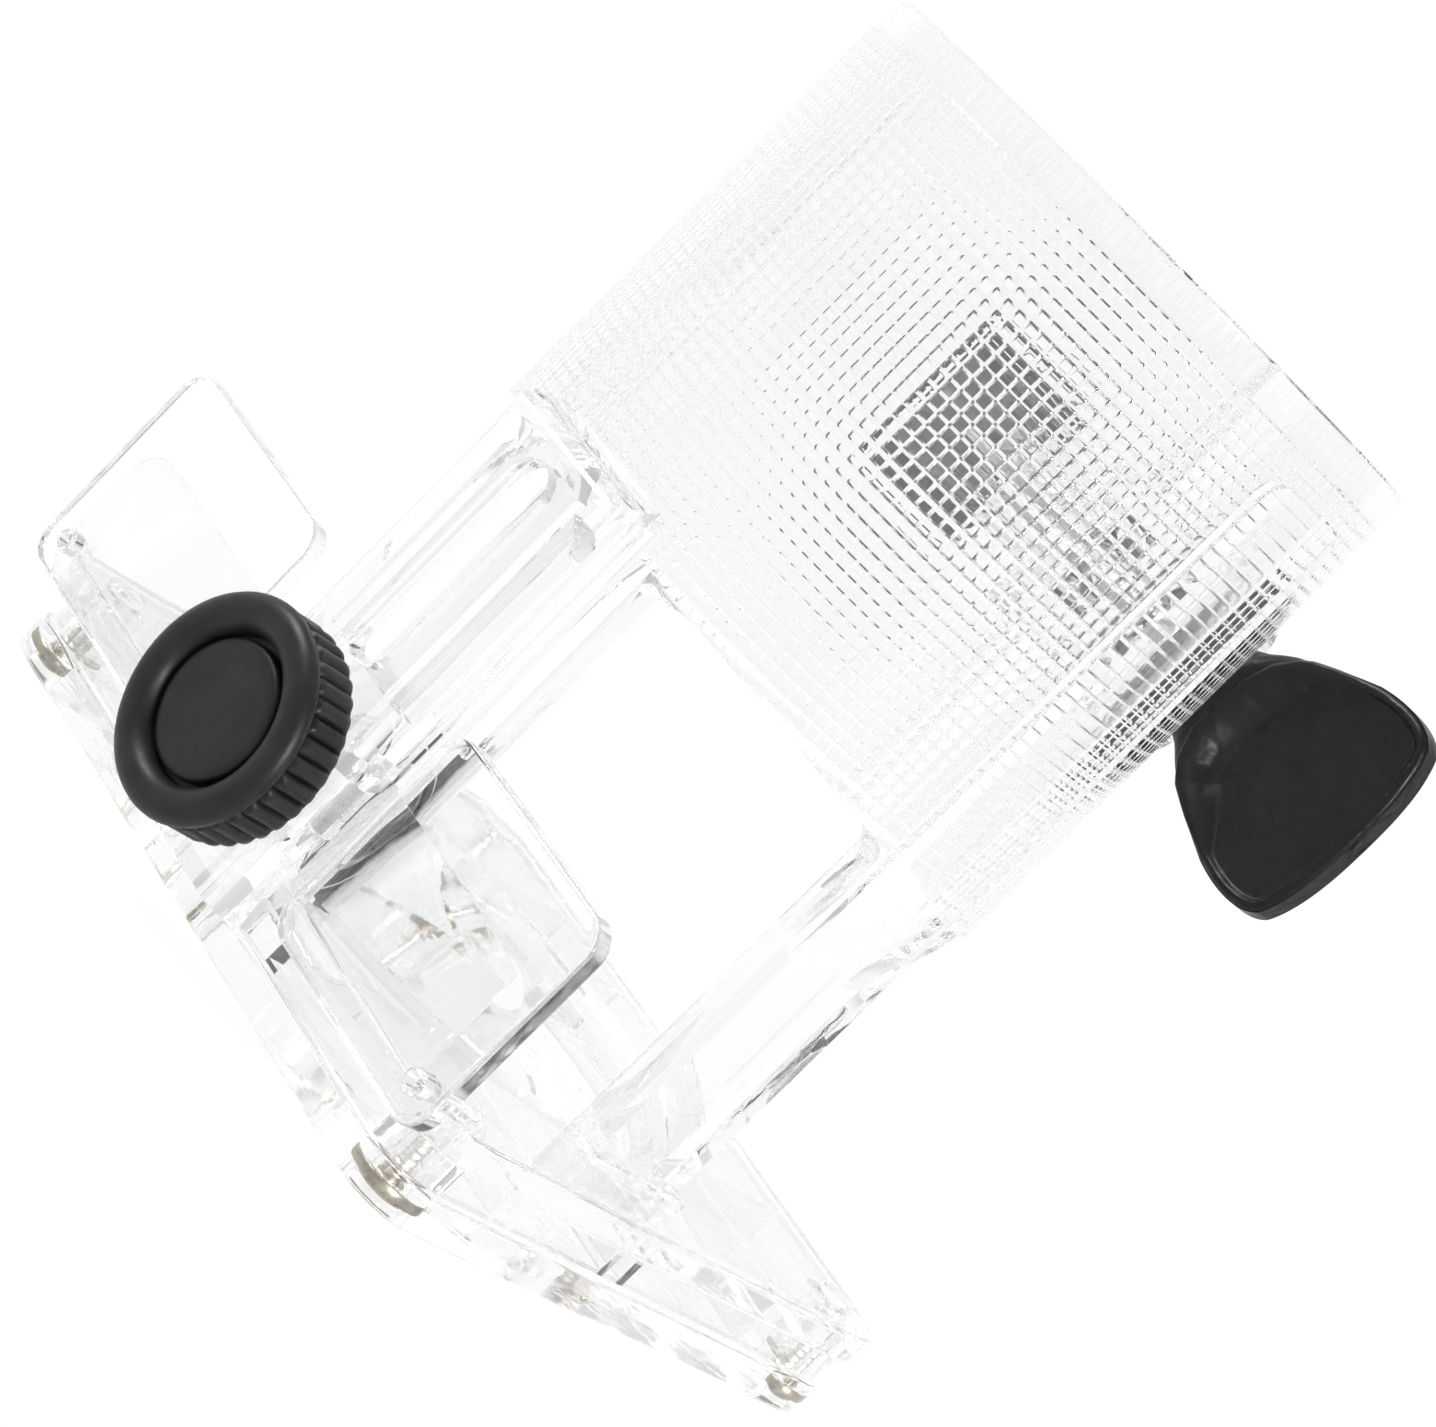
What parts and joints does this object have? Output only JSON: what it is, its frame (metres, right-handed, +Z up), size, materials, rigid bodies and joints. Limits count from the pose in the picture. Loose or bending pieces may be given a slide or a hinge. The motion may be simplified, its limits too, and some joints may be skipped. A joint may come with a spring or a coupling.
{
  "type": "trim router base",
  "caption": "Clear router base: split textured collar on legs over a flanged foot with a sole plate, chip shields, a knurled guide screw and a paddle clamp screw.",
  "frame": {"origin": "under the middle of the whole object's box, on the plane the sole rests on", "axes": "+Z up along the collar's axis, -Y the front where the knurled knob is, +X the side the clamp paddle points to"},
  "size_m": [0.091, 0.0988, 0.1105],
  "materials": {
    "clear_plastic": "clear moulded plastic, polished, with a pillowed grip texture round the collar",
    "clear_sole": "clear moulded plastic plate",
    "clear_shield": "clear flat plastic sheet with rounded edges",
    "black_plastic": "fine satin grain",
    "brass_screw": "yellow plated, slightly dull",
    "steel": "plain zinc plated"
  },
  "bodies": {
    "base": {"housing": "clear_plastic", "sole_plate": "clear_sole", "sole_screw_front_left": "brass_screw", "sole_screw_front_right": "brass_screw", "sole_screw_back_left": "brass_screw", "sole_screw_back_right": "brass_screw", "chip_shield_left": "clear_shield", "chip_shield_right": "clear_shield", "thumb_nut": "steel", "clamp_block": "black_plastic", "clamp_nut": "steel"},
    "thumb_carrier": {"thumb_washer": "steel"},
    "thumb": {"thumb_knob": "black_plastic", "thumb_knob_cap": "black_plastic", "thumb_screw": "steel"},
    "clamp_carrier": {"clamp_washer": "steel"},
    "clamp": {"clamp_paddle": "black_plastic", "clamp_screw": "steel"}
  },
  "joints": [
    {"name": "thumb_travel", "type": "slide", "parent": "base", "child": "thumb_carrier", "axis": [0, -1, 0], "range_m": [0, 0.003]},
    {"name": "thumb_turn", "type": "hinge", "parent": "thumb_carrier", "child": "thumb", "pos_m": [0, -0.04, 0.0186], "axis": [0, -1, 0], "range_deg": [0, 1080]},
    {"name": "clamp_travel", "type": "slide", "parent": "base", "child": "clamp_carrier", "axis": [1, 0, 0], "range_m": [0, 0.0024]},
    {"name": "clamp_turn", "type": "hinge", "parent": "clamp_carrier", "child": "clamp", "pos_m": [0.0115, 0.0428, 0.0827], "axis": [1, 0, 0], "range_deg": [0, 1080]}
  ],
  "couplings": [
    {"joint": "thumb_turn", "follows": "thumb_travel", "rad_per_m": 6283.2},
    {"joint": "clamp_turn", "follows": "clamp_travel", "rad_per_m": 7854}
  ]
}
